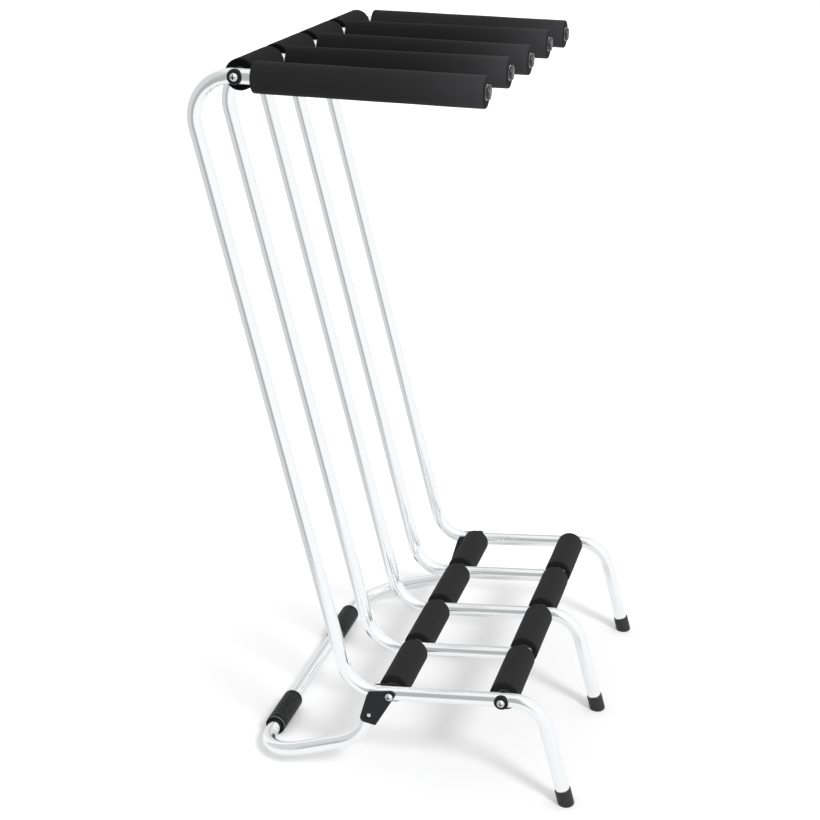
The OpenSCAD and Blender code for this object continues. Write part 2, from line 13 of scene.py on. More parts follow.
import bpy
import numpy as np
from mathutils import Matrix, Vector


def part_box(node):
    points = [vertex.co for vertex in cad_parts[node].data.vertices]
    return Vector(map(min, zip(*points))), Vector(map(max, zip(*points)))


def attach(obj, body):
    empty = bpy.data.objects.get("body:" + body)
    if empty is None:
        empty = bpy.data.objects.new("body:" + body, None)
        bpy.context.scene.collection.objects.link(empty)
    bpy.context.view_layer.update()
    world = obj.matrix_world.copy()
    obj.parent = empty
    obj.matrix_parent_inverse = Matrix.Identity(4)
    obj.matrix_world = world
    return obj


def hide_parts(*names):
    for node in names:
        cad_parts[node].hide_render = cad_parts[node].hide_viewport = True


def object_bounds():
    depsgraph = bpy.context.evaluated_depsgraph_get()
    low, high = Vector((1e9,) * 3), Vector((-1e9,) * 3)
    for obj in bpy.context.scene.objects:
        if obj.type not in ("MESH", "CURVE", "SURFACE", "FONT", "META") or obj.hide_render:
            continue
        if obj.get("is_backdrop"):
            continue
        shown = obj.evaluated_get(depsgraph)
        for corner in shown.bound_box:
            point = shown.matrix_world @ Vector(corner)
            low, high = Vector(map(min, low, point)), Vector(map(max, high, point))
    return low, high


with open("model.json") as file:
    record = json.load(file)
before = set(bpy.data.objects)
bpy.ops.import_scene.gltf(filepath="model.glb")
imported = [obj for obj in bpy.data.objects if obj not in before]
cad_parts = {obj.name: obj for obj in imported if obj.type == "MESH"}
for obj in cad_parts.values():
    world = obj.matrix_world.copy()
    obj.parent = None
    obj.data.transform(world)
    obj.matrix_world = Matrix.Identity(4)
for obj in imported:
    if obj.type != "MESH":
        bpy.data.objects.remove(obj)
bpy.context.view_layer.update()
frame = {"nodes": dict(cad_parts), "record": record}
nodes = frame["nodes"]


def put_in_scene(name, data):
    """A new object made of that mesh, camera or lamp, linked to the scene."""
    made = bpy.data.objects.new(name, data)
    bpy.context.scene.collection.objects.link(made)
    return made


# %% [markdown]
# ## The camera
# The photograph was taken from beside the rack, a little in front of it and from above, through a
# long lens. Fitting the tubes' ends and bends to the picture gave the place and lens below. The
# camera looks along a bearing and a dip, so its three axes are worked out from those two angles.

# %% Place the camera
bearing, dip = math.radians(-75.598), math.radians(19.106)
camera_place = (-3.1255, -0.7519, 1.7007)
level = math.cos(dip)
back = Vector((math.sin(bearing) * level, -math.cos(bearing) * level, math.sin(dip)))
sideways = Vector((0, 0, 1)).cross(back).normalized()
upwards = back.cross(sideways)

lens = bpy.data.cameras.new("photo_camera")
lens.sensor_width = 36
lens.lens = 79.173
camera = put_in_scene("photo_camera", lens)
rows = [(sideways[i], upwards[i], back[i], camera_place[i]) for i in range(3)]
camera.matrix_world = Matrix((*rows, (0, 0, 0, 1)))
bpy.context.scene.camera = camera
print("camera at", [round(v, 3) for v in camera.matrix_world.translation])

# %% [markdown]
# ## Writing a finish as arithmetic
# A procedural finish is a chain of nodes, which is slow to read when every node and link takes a
# line. Here a wire holds one value in the chain, and adding or multiplying two wires makes the
# Math node that does it. Every other node comes from one method, `node`, which sets a node's
# options first and then its inputs. The same graph of wires serves for the studio around the rack
# later on.


# %% Let a wire do arithmetic
class Wire:
    """One value in a graph. Arithmetic on it adds the Math node that works it out."""

    def __init__(self, graph, socket):
        self.graph, self.socket = graph, socket

    def maths(self, operation, first, second=0.0):
        """operation on first and second, each a wire or a number."""
        return self.graph.node("ShaderNodeMath", {"operation": operation}, {0: first, 1: second})

    def __add__(self, other):
        return self.maths("ADD", self, other)

    def __sub__(self, other):
        return self.maths("SUBTRACT", self, other)

    def __rsub__(self, other):
        return self.maths("SUBTRACT", other, self)

    def __mul__(self, other):
        return self.maths("MULTIPLY", self, other)

    def __abs__(self):
        return self.maths("ABSOLUTE", self)

    def __lt__(self, other):
        return self.maths("LESS_THAN", self, other)

    def __gt__(self, other):
        return self.maths("GREATER_THAN", self, other)

    __radd__, __rmul__ = __add__, __mul__


# %% Fill a graph with nodes
class Graph:
    """A node tree that is filled by writing expressions."""

    def __init__(self, tree):
        self.tree = tree

    def node(self, kind, options=(), inputs=(), stops=(), output=0):
        """A new node's output as a wire.

        Its options are set first, then a ramp's stops (position, grey), and then its inputs.
        """
        made = self.tree.nodes.new(kind)
        for option, value in dict(options).items():
            setattr(made, option, value)
        for number, (position, grey) in enumerate(stops):
            ramp = made.color_ramp.elements
            stop = ramp[number] if number < 2 else ramp.new(position)
            stop.position, stop.color = position, (grey, grey, grey, 1)
        for socket, value in dict(inputs).items():
            self.feed(made.inputs[socket], value)
        return Wire(self, made.outputs[output])

    def feed(self, socket, value):
        """Links a wire to a socket, or writes a plain value there."""
        if isinstance(value, Wire):
            self.tree.links.new(value.socket, socket)
        else:
            socket.default_value = value

    def ease(self, value, low, high):
        """0 where a value is below low, 1 where it is above high, and a smooth step between."""
        return self.node("ShaderNodeMapRange", {"interpolation_type": "SMOOTHSTEP"}, {
            "Value": value, "From Min": low, "From Max": high,
        })

    def vector_maths(self, operation, inputs, output=0):
        """operation on vectors, which are given by the number or name of their socket."""
        return self.node("ShaderNodeVectorMath", {"operation": operation}, inputs, output=output)

    def rays(self, kind):
        """1 for rays of a kind that Light Path names, such as Is Camera Ray, and 0 for others."""
        return self.node("ShaderNodeLightPath", output=kind)


# %% Make a finish on one shader
class Finish(Graph):
    """A material on one Principled shader, with constant values set straight on its sockets."""

    def __init__(self, name, **constants):
        self.material = bpy.data.materials.new(name)
        self.material.use_nodes = True
        super().__init__(self.material.node_tree)
        self.shader = self.tree.nodes["Principled BSDF"]
        for socket, value in constants.items():
            self.shader.inputs[socket.replace("_", " ")].default_value = value

    def drive(self, **inputs):
        """Feeds what changes over the surface to the shader's own sockets."""
        for socket, value in inputs.items():
            self.feed(self.shader.inputs[socket.replace("_", " ")], value)

    def place(self):
        """Where each point of a piece is, in metres, which doesn't slide when the piece moves."""
        return self.node("ShaderNodeTexCoord", output="Object")

    def part_of_place(self, axis):
        """One of a point's three coordinates, in metres: 0 for x, 1 for y and 2 for z."""
        return self.node("ShaderNodeSeparateXYZ", inputs={0: self.place()}, output=axis)

    def from_axis(self, y, z):
        """How far each point is from the line across the rack at that y and z, in metres."""
        flat = self.vector_maths("MULTIPLY", {0: self.place(), 1: (0, 1, 1)})
        return self.vector_maths("DISTANCE", {0: flat, 1: (0, y, z)}, output="Value")

    def noise(self, size, detail=3, roughness=0.5, distortion=0):
        """Soft noise from 0 to 1, whose blobs are about that size in metres."""
        return self.node("ShaderNodeTexNoise", inputs={
            "Vector": self.place(), "Scale": 1 / size, "Detail": detail, "Roughness": roughness,
            "Distortion": distortion,
        })

    def blend(self, mask, dark, light):
        """Two colours mixed by a mask from 0 to 1. Each colour may itself be a wire."""
        dark, light = (c if isinstance(c, Wire) else (*c, 1) for c in (dark, light))
        inputs = {"Factor": mask, 6: dark, 7: light}
        return self.node("ShaderNodeMix", {"data_type": "RGBA"}, inputs, output=2)

    def relief(self, height, depth):
        """A bump whose full height is that depth in metres."""
        inputs = {"Height": height, "Distance": depth, "Strength": 1}
        return self.node("ShaderNodeBump", inputs=inputs)


# %% [markdown]
# ## Bright tube
# The tubes are polished metal: almost white where they mirror the studio's open sides, with grey
# lines where they mirror its walls. A painted tube would shade softly from side to side instead.
# Fingers and board wax leave faint smears, so the roughness wanders in patches a few centimetres
# across, and polishing leaves a very fine grain.

# %% Finish the tubes
tube = Finish("bright_tube", Metallic=1.0)
smear = tube.noise(0.045, detail=4, distortion=0.6)
grain = tube.noise(0.0012, detail=2)
tube.drive(
    Base_Color=tube.blend(smear, (0.93, 0.945, 0.955), (0.965, 0.975, 0.98)),
    Roughness=0.10 + smear * 0.07 + grain * 0.04,
    Normal=tube.relief(grain, 0.00001),
)
print("a bright finish of", len(tube.tree.nodes), "nodes")

# %% [markdown]
# ## Tube that no light reaches
# The spacer tubes lie inside the foam, and only their ends show, deep in a sleeve's mouth. They
# are coloured near black and rough: painted shade that keeps those mouths dark, as mirrored rays
# pass the sleeves by.

# %% Finish the spacers
painted_shade_tube = Finish("painted_shade_tube", Metallic=1.0)
shade_mottle = painted_shade_tube.noise(0.006, detail=4)
# Painted shade: the spacers are coloured near black for the shade inside the sleeves' mouths.
painted_shade_tube.drive(
    Base_Color=painted_shade_tube.blend(shade_mottle, (0.012, 0.012, 0.013), (0.022, 0.022, 0.023)),
    Roughness=0.5 + shade_mottle * 0.2,
)
print("a dull finish of", len(painted_shade_tube.tree.nodes), "nodes")

# %% [markdown]
# ## Foam skin
# The sleeves are closed-cell foam. Their skin is a soft charcoal, not pure black, with pores and
# shallow dimples of about a millimetre that break up every highlight. Cell noise gives the pores,
# a finer cloud the pebbled skin, and a slow noise the paler, rubbed patches. A cut end has no
# skin, so an attribute on each sleeve says where the cut is, and a tone of its own goes there:
# the open cells' own darker colour, with painted shade on the end faces and their rounded rims.
# A second attribute holds painted light and shade along each sleeve: the arms are painted paler
# towards their tips, and the arms between the two outer ones stay almost black up to there. The
# top bar's sleeves are the least shiny, and painted shade makes their skin darker still.


# %% Finish the foam
def foam_skin(name, dark, light, cut_and_shaded_end_tone, gloss):
    """A foam finish between two skin tones, with its own tone at cut ends, and painted light and
    shade scaling the skin.
    """
    made = Finish(name, Specular_IOR_Level=gloss)
    pores_per_metre = 700
    rubbed = made.noise(0.06, detail=4)
    pores = made.node("ShaderNodeTexVoronoi", {"feature": "SMOOTH_F1"}, {
        "Vector": made.place(), "Scale": pores_per_metre, "Smoothness": 0.6,
    })
    pebbles = made.noise(0.0022, detail=4, roughness=0.6)
    cut, painted_light_level = (made.node("ShaderNodeAttribute", {"attribute_name": attribute}, output="Fac")
                  for attribute in ("cut_end", "painted_light_level"))
    tone = made.blend(rubbed * 0.6 + pebbles * 0.4, dark, light)
    # Painted light and shade: the skin's tone is scaled by a level that each point holds.
    painted_light_tone = made.vector_maths("SCALE", {0: tone, "Scale": painted_light_level})
    made.drive(
        # The cut ends' tone is the open cells' own colour, and painted shade on the end faces and
        # rims.
        Base_Color=made.blend(cut, painted_light_tone, cut_and_shaded_end_tone),
        Roughness=0.66 + rubbed * 0.18 + cut * 0.12,
        Normal=made.relief(pores * 0.6 + pebbles * 0.8 + cut * pores, 0.00032),
    )
    return made


foam = foam_skin(
    "foam_skin", dark=(0.0108, 0.0105, 0.0116), light=(0.0235, 0.0230, 0.0242),
    cut_and_shaded_end_tone=(0.011, 0.011, 0.0115), gloss=0.14)
# Painted shade: the top bar's sleeves get a darker skin, as well as a lower gloss.
painted_shade_foam = foam_skin(
    "painted_shade_foam", dark=(0.0050, 0.0050, 0.0054), light=(0.0100, 0.0098, 0.0103),
    cut_and_shaded_end_tone=(0.002, 0.002, 0.0022), gloss=0.08)
print("foam finishes of", len(foam.tree.nodes), "nodes each")

# %% [markdown]
# ## Rubber, nylon and hard plastic
# The brackets are glass-filled nylon with a fine moulded grain. The washers are the deepest black,
# the ferrules are a little greyer, and the plugs are polished enough to show a bright ring.
# The ribbed grips are moulded rubber, near black, with a grey painted highlight along the edges
# of their ribs.
# All share one recipe with other numbers, so one function makes them and keeps their tone. The
# distance from the bar's axis then finds the ribs' edges: they lie a little below the crests and
# above the grooves.


# %% Finish the black parts
def black_part(name, dark, light, roughness, grain_size, grain_depth, gloss):
    """A moulded black finish: fine grain gives the bump, slow noise the colour and roughness."""
    made = Finish(name, Specular_IOR_Level=gloss)
    cloud = made.noise(0.018, detail=4)
    mould = made.noise(grain_size, detail=3, roughness=0.6)
    made.tone = made.blend(cloud * 0.7 + mould * 0.3, dark, light)
    made.drive(
        Base_Color=made.tone,
        Roughness=roughness + cloud * 0.14 + mould * 0.06,
        Normal=made.relief(mould, grain_depth),
    )
    return made


rubber = black_part(
    "grip_rubber", dark=(0.003, 0.003, 0.0035), light=(0.007, 0.007, 0.0075),
    roughness=0.36, grain_size=0.0009, grain_depth=0.00008, gloss=0.11)
nylon = black_part(
    "bracket_nylon", dark=(0.008, 0.009, 0.0095), light=(0.017, 0.019, 0.020),
    roughness=0.46, grain_size=0.0007, grain_depth=0.00008, gloss=0.22)
plastic = black_part(
    "washer_plastic", dark=(0.003, 0.003, 0.0035), light=(0.008, 0.008, 0.009),
    roughness=0.40, grain_size=0.0011, grain_depth=0.00004, gloss=0.2)
ferrule_plastic = black_part(
    "ferrule_plastic", dark=(0.012, 0.012, 0.013), light=(0.026, 0.026, 0.028),
    roughness=0.38, grain_size=0.0011, grain_depth=0.00005, gloss=0.35)
plug_plastic = black_part(
    "plug_plastic", dark=(0.008, 0.008, 0.009), light=(0.018, 0.018, 0.020),
    roughness=0.12, grain_size=0.0011, grain_depth=0.00003, gloss=0.7)
print("black finishes of", len(nylon.tree.nodes), "nodes each")

grip_low, grip_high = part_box("grip_1")
grip_middle = (grip_low + grip_high) / 2
grip_radius = (grip_high.z - grip_low.z) / 2
from_bar = rubber.from_axis(grip_middle.y, grip_middle.z)
edge_depths, crest_depths = (0.0012, 0.0006), (0.0003, 0.00005)
above_groove, on_crest = (rubber.ease(from_bar, grip_radius - deep, grip_radius - shallow)
                          for deep, shallow in (edge_depths, crest_depths))
# Painted highlight: the ribs' edges are coloured grey, where light would catch them.
painted_rib_highlight = above_groove * (1 - on_crest)
rubber.drive(Base_Color=rubber.blend(painted_rib_highlight, rubber.tone, (0.16, 0.165, 0.17)))
print("grips of radius", round(grip_radius, 4), "round", [round(v, 4) for v in grip_middle])

# %% [markdown]
# ## Zinc-plated steel
# The screws are plated steel: bright, but greyer and less even than the tubes. A cloudy noise
# darkens the plating in spots, and a finer one roughens it. The cross recess in a head is a small
# pit, and everything inside it gets painted shade, a near-black colour, and more roughness: points
# near a screw's axis that lie deeper than the crown of the head does there.

# %% Finish the screws
steel = Finish("plated_steel", Metallic=1.0)
spots = steel.noise(0.004, detail=5, roughness=0.65)
fine = steel.noise(0.0006, detail=2)
crown_height, pit_radius, pit_top = 0.0046, 0.0043, 0.0034
screw_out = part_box("end_screws")[1].x - crown_height
washer_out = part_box("top_saddles")[1].x
out = abs(steel.part_of_place(0))
# Painted shade: a mask of the screw heads' cross recesses, coloured near black below.
recess_shade = 0
for bar, face in (("top", washer_out), ("front", washer_out), ("rear", screw_out)):
    low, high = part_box(f"{bar}_tie_rod")
    near = steel.from_axis((low.y + high.y) / 2, (low.z + high.z) / 2) < pit_radius
    recess_shade = near * (out > face) * (out < face + pit_top) + recess_shade
plating = steel.blend(spots, (0.60, 0.61, 0.62), (0.84, 0.85, 0.86))
steel.drive(
    Base_Color=steel.blend(recess_shade, plating, (0.03, 0.03, 0.032)),
    Roughness=0.24 + spots * 0.16 + recess_shade * 0.3,
    Normal=steel.relief(fine, 0.00002),
)
print("a plated finish of", len(steel.tree.nodes), "nodes")

# %% Give each CAD piece its finish
finishes = {
    "tube_metal": tube, "sleeve_foam": foam, "screw_steel": steel,
    "bracket_nylon": nylon, "grip_rubber": rubber, "black_plastic": plastic,
}
own_finishes = {
    "ferrule": ferrule_plastic, "arm_plug": plug_plastic, "tail_plug": plug_plastic,
    "top_spacers": painted_shade_tube, "rear_spacers": painted_shade_tube, "front_spacers": painted_shade_tube,
}
slots = {part["node"]: part["material_slot"] for part in frame["record"]["subparts"]}
# A piece's number is dropped from its name, so one entry serves all three ferrules.
for name, slot in slots.items():
    finish = own_finishes.get(name.rstrip("_12345"), finishes[slot])
    for held in nodes[name].material_slots:
        held.material = finish.material
print("finished", len(slots), "pieces")

# %% [markdown]
# ## Closed skins
# Every new piece here is a closed loop carried along another: a circle along a bent path, or the
# outline of a foam wall round its axis. Both are a grid of points whose rows and columns each run
# round into themselves, so one helper turns such a grid into a mesh, with no seam and no open
# edge.


# %% Make a mesh from a grid that closes on itself
def closed_skin(name, points, finish, node, body):
    """A mesh through a grid of points (rows, columns, xyz) that stands in for a CAD node.

    Point (i, j) is joined to (i + 1, j) and (i, j + 1), and the last index leads to the first.
    """
    here = np.arange(points.size // 3).reshape(points.shape[:2])
    beside, ahead = np.roll(here, -1, axis=1), np.roll(here, -1, axis=0)
    across = np.roll(beside, -1, axis=0)
    faces = np.stack([here, beside, across, ahead], axis=-1).reshape(-1, 4)
    mesh = bpy.data.meshes.new(name)
    mesh.from_pydata(points.reshape(-1, 3).tolist(), [], faces.tolist())
    mesh.shade_smooth()
    mesh.materials.append(finish.material)
    piece = put_in_scene(name, mesh)
    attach(piece, body)
    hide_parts(node)
    return piece


# %% [markdown]
# ## Bent tubes
# Each rail is one length of tube, bent round formers: at the top, at the shelf, and on three of
# the rails again into a leg. The prop behind is one more tube, bent four times into a U. The CAD
# tubes are cut into flat strips, and a mirror shows each strip as a slice of its own. A circle
# swept along the same path and shaded smoothly gives the long, clean lines that bright tube has.
# The small cross holes for the tie rods stay in the CAD model: washers and brackets hide them.

# %% Sizes of the tubes and their bends, in metres
tube_radius, tube_wall = 0.0125, 0.0015
rail_pitch = 0.18
shelf_rise, upright_lean = math.radians(3.9), math.radians(14.2)
low_corner_back, upright_rise = 0.075, 1.089
top_bend, low_bend, leg_bend = 0.070, 0.070, 0.060
leg_corner_ahead, foot_ahead, foot_lift, short_tail = 0.268, 0.320, 0.005, 0.015
long_arm_fall, short_arm_fall, short_rail_back = math.radians(1.4), math.radians(0.8), 0.005
arm_length, arm_clear = 0.384, 0.0297
prop_side_bend, prop_rear_bend, prop_splay = 0.075, 0.090, 0.008
# Each pair is a distance ahead of the rear crossbar and a height.
prop_end, prop_corner, prop_rear = (-0.0349, 0.145154), (-0.0515, 0.0805), (-0.256, 0.019)

rods = [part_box(f"{bar}_tie_rod") for bar in ("top", "rear", "front")]
top_bar, rear_bar, front_bar = ((low + high) / 2 for low, high in rods)
shelf_height = rear_bar.z
print("crossbars at", [[round(v, 4) for v in bar] for bar in (top_bar, rear_bar, front_bar)])


# %% Round a path's corners
def bent_path(corners, radii, side, turn=math.radians(3), lead=0.004):
    """Stations along a path whose inner corners are rounded: their points, directions and sides.

    With a the direction into a bend of radius r that turns by q, b the direction out of it and n
    the direction towards its inside, the bend starts at corner - a r tan(q / 2) and runs through
    start + r (a sin u + n (1 - cos u)) for u from 0 to q. The side vector s turns with it, without
    a twist, about k = a x n: it becomes k (k.s) + (s - k (k.s)) cos u + (k x s) sin u. One station
    a little before each bend and one after it keep the straights' shading straight.
    """
    corners = [np.array(corner, float) for corner in corners]
    headings = [(b - a) / np.linalg.norm(b - a) for a, b in zip(corners, corners[1:])]
    side = np.array(side, float)
    points, ways, sides = [corners[0][None]], [headings[0][None]], [side[None]]
    for corner, a, b, r in zip(corners[1:], headings, headings[1:], radii):
        q = math.acos(a @ b)
        n = (b - a * (a @ b)) / math.sin(q)
        k = np.cross(a, n)
        u = np.linspace(0, q, math.ceil(q / turn) + 1)[:, None]
        arc = corner - a * r * math.tan(q / 2) + r * (a * np.sin(u) + n * (1 - np.cos(u)))
        kept = k * (k @ side)
        carried = kept + (side - kept) * np.cos(u) + np.cross(k, side) * np.sin(u)
        points += [arc[:1] - a * lead, arc, arc[-1:] + b * lead]
        ways += [a[None], a * np.cos(u) + n * np.sin(u), b[None]]
        sides += [side[None], carried, carried[-1:]]
        side = carried[-1]
    points.append(corners[-1][None])
    ways.append(headings[-1][None])
    sides.append(side[None])
    return np.concatenate(points), np.concatenate(ways), np.concatenate(sides)


# %% Sweep a tube's wall along a path
def swept_tube(name, node, body, path, around=56, rim_angle=math.radians(40)):
    """A tube whose outer circles run out along the path and whose bore's circles run back.

    Round a station p with direction d, side s and t = d x s, the circle of radius R is
    p + R (s cos v + t sin v) for v from 0 to a full turn. Only the rims turn by more than
    rim_angle, so only they are shaded as sharp edges.
    """
    points, ways, sides = path
    tops = np.cross(ways, sides)
    there, back_again = np.arange(len(points)), np.arange(len(points))[::-1]
    order = np.concatenate([there, back_again])
    radius = np.repeat([tube_radius, tube_radius - tube_wall], len(points))[:, None, None]
    v = np.linspace(0, 2 * np.pi, around, endpoint=False)[None, :, None]
    circles = sides[order][:, None] * np.cos(v) + tops[order][:, None] * np.sin(v)
    walls = points[order][:, None] + radius * circles
    piece = closed_skin(name, walls, tube, node, body)
    piece.data.set_sharp_from_angle(angle=rim_angle)
    return piece


# %% Bend the five rails
def at(x, ahead, up):
    """A point from its place across the rack, how far ahead of the rear bar, and how high."""
    return x, rear_bar.y - ahead, up


def shelf_up(ahead):
    """Height of the shelf line at a distance ahead of the rear crossbar."""
    return shelf_height + ahead * math.tan(shelf_rise)


top_bar_ahead = rear_bar.y - top_bar.y
arm_start = top_bar_ahead + arm_clear
top_corner_ahead = -low_corner_back - upright_rise * math.tan(upright_lean)
rails = []
for number in range(1, 6):
    x, is_long = (number - 3) * rail_pitch, number % 2 == 1
    fall, setback = (long_arm_fall, 0) if is_long else (short_arm_fall, short_rail_back)
    tip = arm_start + arm_length * math.cos(fall)
    tip_up = top_bar.z - arm_clear * math.tan(fall) - arm_length * math.sin(fall)
    top, low = top_corner_ahead - setback, -low_corner_back - setback
    top_up = top_bar.z + (top_bar_ahead - top) * math.tan(fall)
    corners = [at(x, tip, tip_up), at(x, top, top_up), at(x, low, shelf_up(low))]
    if is_long:
        knee = np.array([leg_corner_ahead, shelf_up(leg_corner_ahead)])
        foot = np.array([foot_ahead, 0])
        sole = foot + (knee - foot) * foot_lift / np.linalg.norm(knee - foot)
        corners += [at(x, *knee), at(x, *sole)]
    else:
        end = rear_bar.y - front_bar.y + short_tail * math.cos(shelf_rise)
        corners += [at(x, end, shelf_up(end))]
    path = bent_path(corners, (top_bend, low_bend, leg_bend), (1, 0, 0))
    rails.append(swept_tube(f"bright_rail_{number}", f"rail_{number}", "rack", path))
print("bent", len(rails), "rails of", len(rails[0].data.polygons), "faces or fewer")

# %% Bend the prop
end_rail = 2 * rail_pitch
left_half = [at(-end_rail, *prop_end), at(-end_rail, *prop_corner),
             at(-end_rail - prop_splay, *prop_rear)]
right_half = [(-x, y, z) for x, y, z in reversed(left_half)]
prop_bends = (prop_side_bend, prop_rear_bend, prop_rear_bend, prop_side_bend)
path = bent_path(left_half + right_half, prop_bends, (1, 0, 0))
prop = swept_tube("bright_prop", "base_frame", "base", path)
print("bent the prop of", len(prop.data.polygons), "faces")

# %% [markdown]
# ## Foam sleeves
# A sleeve is a tube of foam pushed over a metal tube. It is never a perfect cylinder: the ends are
# rounded where the foam was cut and handled, the bore is stretched at the mouth, and the surface
# undulates by a few tenths of a millimetre. A primitive cylinder would show hard, clean rims. Here
# the closed outline of the foam's wall is carried round an axis, and its radius gets slow waves.
# The picture's tubes show clean white beside the sleeves, where a mirror would show black streaks,
# so mirrored rays pass the sleeves by.

# %% Draw the outline of a foam wall
foam_radius, bore_radius = 0.0265, 0.01265
rim_radius, crossbar_mouth, arm_mouth = 0.003, 0.0034, 0.0012
bore_points, skin_points, same_point = 24, 72, 1e-7


def wall_outline(length, mouth, steps=9):
    """The foam wall's closed outline as (place along the axis, distance from it), all in metres.

    Four quarter circles, of the rim's radius outside and the mouth's inside, are joined by
    straight runs. The outline starts at the bore and goes round by the far end, the skin and the
    near end.
    """
    half = length / 2
    quarter = np.linspace(0, np.pi / 2, steps)
    runs = [
        (np.linspace(-half + mouth, half - mouth, bore_points), np.full(bore_points, bore_radius)),
        (half - mouth + mouth * np.sin(quarter), bore_radius + mouth - mouth * np.cos(quarter)),
        (half - rim_radius + rim_radius * np.cos(quarter),
         foam_radius - rim_radius + rim_radius * np.sin(quarter)),
        (np.linspace(half - rim_radius, -half + rim_radius, skin_points),
         np.full(skin_points, foam_radius)),
        (-half + rim_radius - rim_radius * np.sin(quarter),
         foam_radius - rim_radius + rim_radius * np.cos(quarter)),
        (-half + mouth - mouth * np.cos(quarter), bore_radius + mouth - mouth * np.sin(quarter)),
    ]
    outline = np.concatenate([np.stack(run, axis=1) for run in runs])
    step = np.linalg.norm(np.roll(outline, -1, axis=0) - outline, axis=1)
    return outline[step > same_point]


print("a foam wall", round(foam_radius - bore_radius, 4), "thick, with rims of", rim_radius)

# %% Carry it round an axis
wave_depth, wave_turn = 0.0006, 45  # metres, and radians per metre along the axis


def sleeve(name, node, finish, direction, length, mouth, seed, painted_light_ends=(1.0, 1.0), around=72):
    """A foam sleeve in place of a CAD one, centred on its box and lying along a direction.

    A point of the outline at distance r is carried round the axis to r (cos t, sin t). On the
    skin, r loses w (2 + sin(2 t + a) + sin(k z + b) cos(t + c)) / 4, a slow wave that never grows
    the foam, with w the wave's depth and k its turn. The two numbers of the painted light, p and
    q, multiply the skin's tone at its start and end, and p + (q - p) s^5 does so between, as s
    goes
    from 0 to 1: painted light and shade along the sleeve.
    """
    low, high = (np.array(corner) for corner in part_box(node))
    axis = np.array(direction, float) / np.linalg.norm(direction)
    across = np.cross(axis, [0.0, 0.0, 1.0])
    across /= np.linalg.norm(across)
    above = np.cross(across, axis)

    outline = wall_outline(length, mouth)
    t = -np.linspace(0, 2 * np.pi, around, endpoint=False)[:, None]
    along, radius = outline[None, :, 0], outline[None, :, 1]
    shift = np.random.default_rng(seed).uniform(0, 2 * np.pi, 3)
    slow = np.sin(wave_turn * along + shift[1]) * np.cos(t + shift[2])
    wave = (2 + np.sin(2 * t + shift[0]) + slow) / 4
    on_skin = np.clip((radius - bore_radius - mouth) / (foam_radius - bore_radius), 0, 1)
    radius = radius - wave_depth * on_skin * wave
    points = ((low + high) / 2 + along[..., None] * axis
              + (radius * np.cos(t))[..., None] * across + (radius * np.sin(t))[..., None] * above)
    piece = closed_skin(name, points, finish, node, "rack")
    piece.visible_glossy = False

    along = np.broadcast_to(along, points.shape[:2])
    cut_share = np.clip(1 - (length / 2 - np.abs(along)) / rim_radius, 0, 1)
    # Painted light and shade: a level that grows from the sleeve's start to its end.
    painted_brightness = painted_light_ends[0] + (painted_light_ends[1] - painted_light_ends[0]) * (along / length + 0.5) ** 5
    for attribute, values in (("cut_end", cut_share), ("painted_light_level", painted_brightness)):
        layer = piece.data.attributes.new(attribute, "FLOAT", "POINT")
        layer.data.foreach_set("value", values.ravel().astype(np.float32))
    return piece


# %% [markdown]
# ## Twelve crossbar sleeves and five arm sleeves
# The crossbar sleeves lie straight across the rack and fill the bays between its rails. The arms
# dip a little towards their tips: 1.4 degrees on the outer and middle rails, and 0.8 on the two
# between.

# %% Make the seventeen sleeves
# Painted light: the arms grow paler towards their tips, the inner arms from almost black.
outer_painted_light, inner_painted_light = (0.85, 2.5), (0.35, 2.7)
sleeves = []
for row, bar in enumerate(("top", "rear", "front")):
    for bay in range(1, 5):
        node = f"{bar}_foam_{bay}"
        low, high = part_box(node)
        # Painted shade: the top bar's sleeves take the darker foam.
        finish = painted_shade_foam if bar == "top" else foam
        sleeves.append(sleeve(f"{bar}_sleeve_{bay}", node, finish, (1, 0, 0), high[0] - low[0],
                              crossbar_mouth, seed=10 * row + bay))
for number in range(1, 6):
    fall = long_arm_fall if number % 2 else short_arm_fall
    direction = (0, -math.cos(fall), -math.sin(fall))
    painted_light_ends = outer_painted_light if number in (1, 5) else inner_painted_light
    sleeves.append(sleeve(f"arm_sleeve_{number}", f"arm_foam_{number}", foam, direction,
                          arm_length, arm_mouth, seed=40 + number, painted_light_ends=painted_light_ends))
print("made", len(sleeves), "sleeves of", len(sleeves[0].data.polygons), "faces or more")

# %% [markdown]
# ## Floor, light and background
# The picture has no background at all: the floor and the wall are one white, with only soft grey
# shadows close to the base. The floor is a wide white sheet. Camera rays and mirrored rays get a
# little extra white from it, and the camera gets more further out, so that the open floor reaches
# pure white while the shadows at the feet stay. Mirrors see only the sheet's middle, because the
# picture's uprights mirror a room beyond its edge. One broad lamp from the front, above the arms'
# tips, casts the shadows, and the white sky does the rest.

# %% Lay the floor
paper = Finish("floor_white", Roughness=0.9, Specular_IOR_Level=0.1, Emission_Strength=1.0)
fleck = paper.noise(0.5, detail=2)
seen, reflected = paper.rays("Is Camera Ray"), paper.rays("Is Glossy Ray")
from_middle = paper.vector_maths("LENGTH", {0: paper.place()}, output="Value")
glow_near, glow_far, glow_reflected = 0.14, 0.42, 0.05
near_ends, far_starts = 0.45, 0.95
outwards = paper.ease(from_middle, near_ends, far_starts)
glow = seen * (outwards * (glow_far - glow_near) + glow_near) + reflected * glow_reflected
paper.drive(
    Base_Color=paper.blend(fleck, (0.93, 0.93, 0.93), (0.95, 0.95, 0.95)),
    Emission_Color=paper.blend(glow, (0, 0, 0), (1, 1, 1)),
)


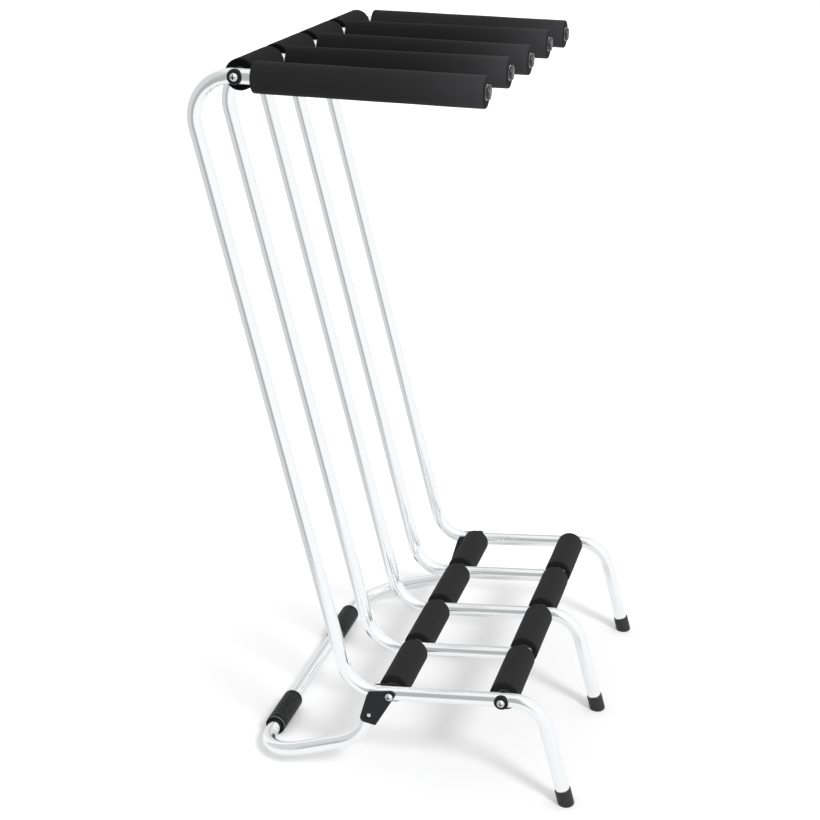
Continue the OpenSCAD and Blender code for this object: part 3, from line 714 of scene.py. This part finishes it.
def floor_sheet(name, edge, hole=None):
    """A flat sheet over a box (x from, y from, x to, y to), with a hole of such a box or none."""
    boxes = (edge, hole) if hole else (edge,)
    corners = [corner for x0, y0, x1, y1 in boxes
               for corner in ((x0, y0, 0), (x1, y0, 0), (x1, y1, 0), (x0, y1, 0))]
    border = [(k, (k + 1) % 4, 4 + (k + 1) % 4, 4 + k) for k in range(4)]
    mesh = bpy.data.meshes.new(name)
    mesh.from_pydata(corners, [], border if hole else [(0, 1, 2, 3)])
    mesh.materials.append(paper.material)
    sheet = put_in_scene(name, mesh)
    sheet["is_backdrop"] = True
    return sheet


mirrored_part, whole_floor = (-1.4, -0.8, 0.8, 0.45), (-12, -12, 12, 12)
floor_sheet("floor_middle", mirrored_part)
floor_sheet("floor_around", whole_floor, hole=mirrored_part).visible_glossy = False
print("the floor is mirrored over", mirrored_part)

# %% Hang the lamp
lamp = bpy.data.lights.new("broad_lamp", "SUN")
lamp.energy = 1.45
lamp.angle = math.radians(13)
towards_lamp = Vector((-0.85, -0.85, 1.0))
put_in_scene("broad_lamp", lamp).rotation_euler = towards_lamp.to_track_quat("Z", "Y").to_euler()
print("a lamp of strength", round(lamp.energy, 2), "towards", [round(v, 2) for v in towards_lamp])

# %% [markdown]
# ## What the tubes mirror
# A mirror has no look of its own: it shows the room. In the picture every upright has the same
# lines from side to side, a grey left third that ends in a dark stripe, and then white with one
# faint line. So the room has a grey wall, from about 45 to 130 degrees to the left of the camera,
# with a dark strip at its near edge, and a faint line to the right. A paler wall with a dark strip
# stands opposite the camera, so that the tubes keep their shape from the other sides too. The room
# is white elsewhere, and the walls fade out overhead and underneath. Only mirrored rays see them.
# The camera sees plain white, as it would through glass, and the soft light on everything else
# stays even.

# %% Build the white studio
sky = bpy.data.worlds.new("white_studio")
bpy.context.scene.world = sky
sky.use_nodes = True
studio = Graph(sky.node_tree)
towards_camera = Vector((back.x, back.y, 0)).normalized()
to_the_left = Vector((0, 0, -1)).cross(towards_camera)

gaze = studio.node("ShaderNodeTexCoord", output="Generated")
left, near, up = (studio.vector_maths("DOT_PRODUCT", {0: gaze, 1: direction}, output="Value")
                  for direction in (to_the_left, towards_camera, Vector((0, 0, 1))))
turned = left.maths("ARCTAN2", left, near) * (0.5 / math.pi) + 0.5

# Each pair is a bearing in degrees, towards the camera's left, and the grey of the wall there.
right_line = ((-114, 1.0), (-106, 0.86), (-98, 1.0))
left_wall = ((3, 1.0), (14, 0.46), (38, 0.46), (50, 0.68), (126, 0.70), (134, 1.0))
far_wall_left = ((148, 1.0), (154, 0.80), (172, 0.80), (175, 0.58))
far_wall_right = ((-180, 0.58), (-175, 0.58), (-172, 0.80), (-154, 0.80), (-148, 1.0))
all_round = far_wall_right + right_line + left_wall + far_wall_left
walls = studio.node("ShaderNodeValToRGB", inputs={"Fac": turned},
                    stops=[(degrees / 360 + 0.5, grey) for degrees, grey in all_round])
walls_end, open_from = 0.75, 0.95
open_above = studio.ease(abs(up), walls_end, open_from)
mirrored = walls + (1 - walls) * open_above
soft_light = 0.70
seen = studio.rays("Is Camera Ray") + studio.rays("Is Transmission Ray")
reflected = studio.rays("Is Glossy Ray")
strength = soft_light + seen * (1 - soft_light) + reflected * (mirrored - soft_light)
background = studio.tree.nodes["Background"]
background.inputs["Color"].default_value = (1, 1, 1, 1)
studio.feed(background.inputs["Strength"], strength)
print("the studio's left is towards", [round(v, 3) for v in to_the_left])

# %% Keep colours as they are written, and note the size
bpy.context.scene.view_settings.view_transform = "Standard"
low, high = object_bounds()
print("visual size in metres:", [round(v, 3) for v in high - low])
